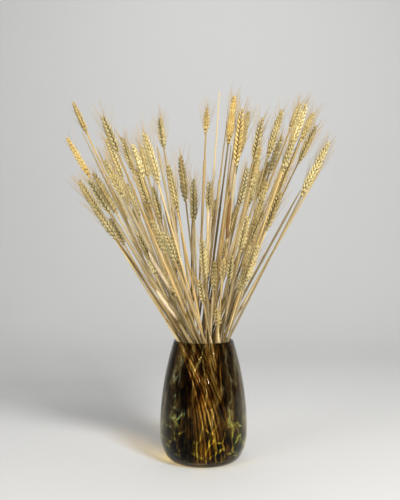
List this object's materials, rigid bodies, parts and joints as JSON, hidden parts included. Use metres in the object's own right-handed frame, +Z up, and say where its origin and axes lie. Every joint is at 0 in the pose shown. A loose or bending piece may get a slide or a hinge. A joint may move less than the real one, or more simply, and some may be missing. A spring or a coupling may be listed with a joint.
{
  "type": "vase of wheat ears",
  "caption": "Fan of dried bearded wheat ears on long straws, standing in a rounded smoky glass vase that tapers to its rim.",
  "frame": {"origin": "centre of the vase's flat base, on the surface it stands on", "axes": "+Z up along the vase's axis, -Y towards the picture's camera, +X to its right"},
  "size_m": [0.5756, 0.395, 0.7545],
  "materials": {
    "mottled_glass": "clear dark olive-brown glass with amber and green mottling",
    "dried_wheat": "dry, matt straw yellow, paler at the awns and leaves",
    "bare_straw": "dry straw with a slight sheen"
  },
  "bodies": {
    "root": {"vase": "mottled_glass", "wheat_01": "dried_wheat", "wheat_02": "dried_wheat", "wheat_03": "dried_wheat", "wheat_04": "dried_wheat", "wheat_05": "dried_wheat", "wheat_06": "dried_wheat", "wheat_07": "dried_wheat", "wheat_08": "dried_wheat", "wheat_09": "dried_wheat", "wheat_10": "dried_wheat", "wheat_11": "dried_wheat", "wheat_12": "dried_wheat", "wheat_13": "dried_wheat", "wheat_14": "dried_wheat", "wheat_15": "dried_wheat", "wheat_16": "dried_wheat", "wheat_17": "dried_wheat", "wheat_18": "dried_wheat", "wheat_19": "dried_wheat", "wheat_20": "dried_wheat", "wheat_21": "dried_wheat", "wheat_22": "dried_wheat", "wheat_23": "dried_wheat", "wheat_24": "dried_wheat", "wheat_25": "dried_wheat", "wheat_26": "dried_wheat", "wheat_27": "dried_wheat", "wheat_28": "dried_wheat", "wheat_29": "dried_wheat", "wheat_30": "dried_wheat", "wheat_31": "dried_wheat", "wheat_32": "dried_wheat", "wheat_33": "dried_wheat", "wheat_34": "dried_wheat", "wheat_35": "dried_wheat", "wheat_36": "dried_wheat", "wheat_37": "dried_wheat", "wheat_38": "dried_wheat", "wheat_39": "dried_wheat", "wheat_40": "dried_wheat", "wheat_41": "dried_wheat", "wheat_42": "dried_wheat", "wheat_43": "dried_wheat", "wheat_44": "dried_wheat", "wheat_45": "dried_wheat", "wheat_46": "dried_wheat", "wheat_47": "dried_wheat", "wheat_48": "dried_wheat", "wheat_49": "dried_wheat", "wheat_50": "dried_wheat", "wheat_51": "dried_wheat", "wheat_52": "dried_wheat", "wheat_53": "dried_wheat", "wheat_54": "dried_wheat", "wheat_55": "dried_wheat", "straw_01": "bare_straw", "straw_02": "bare_straw", "straw_03": "bare_straw", "straw_04": "bare_straw"}
  },
  "joints": []
}
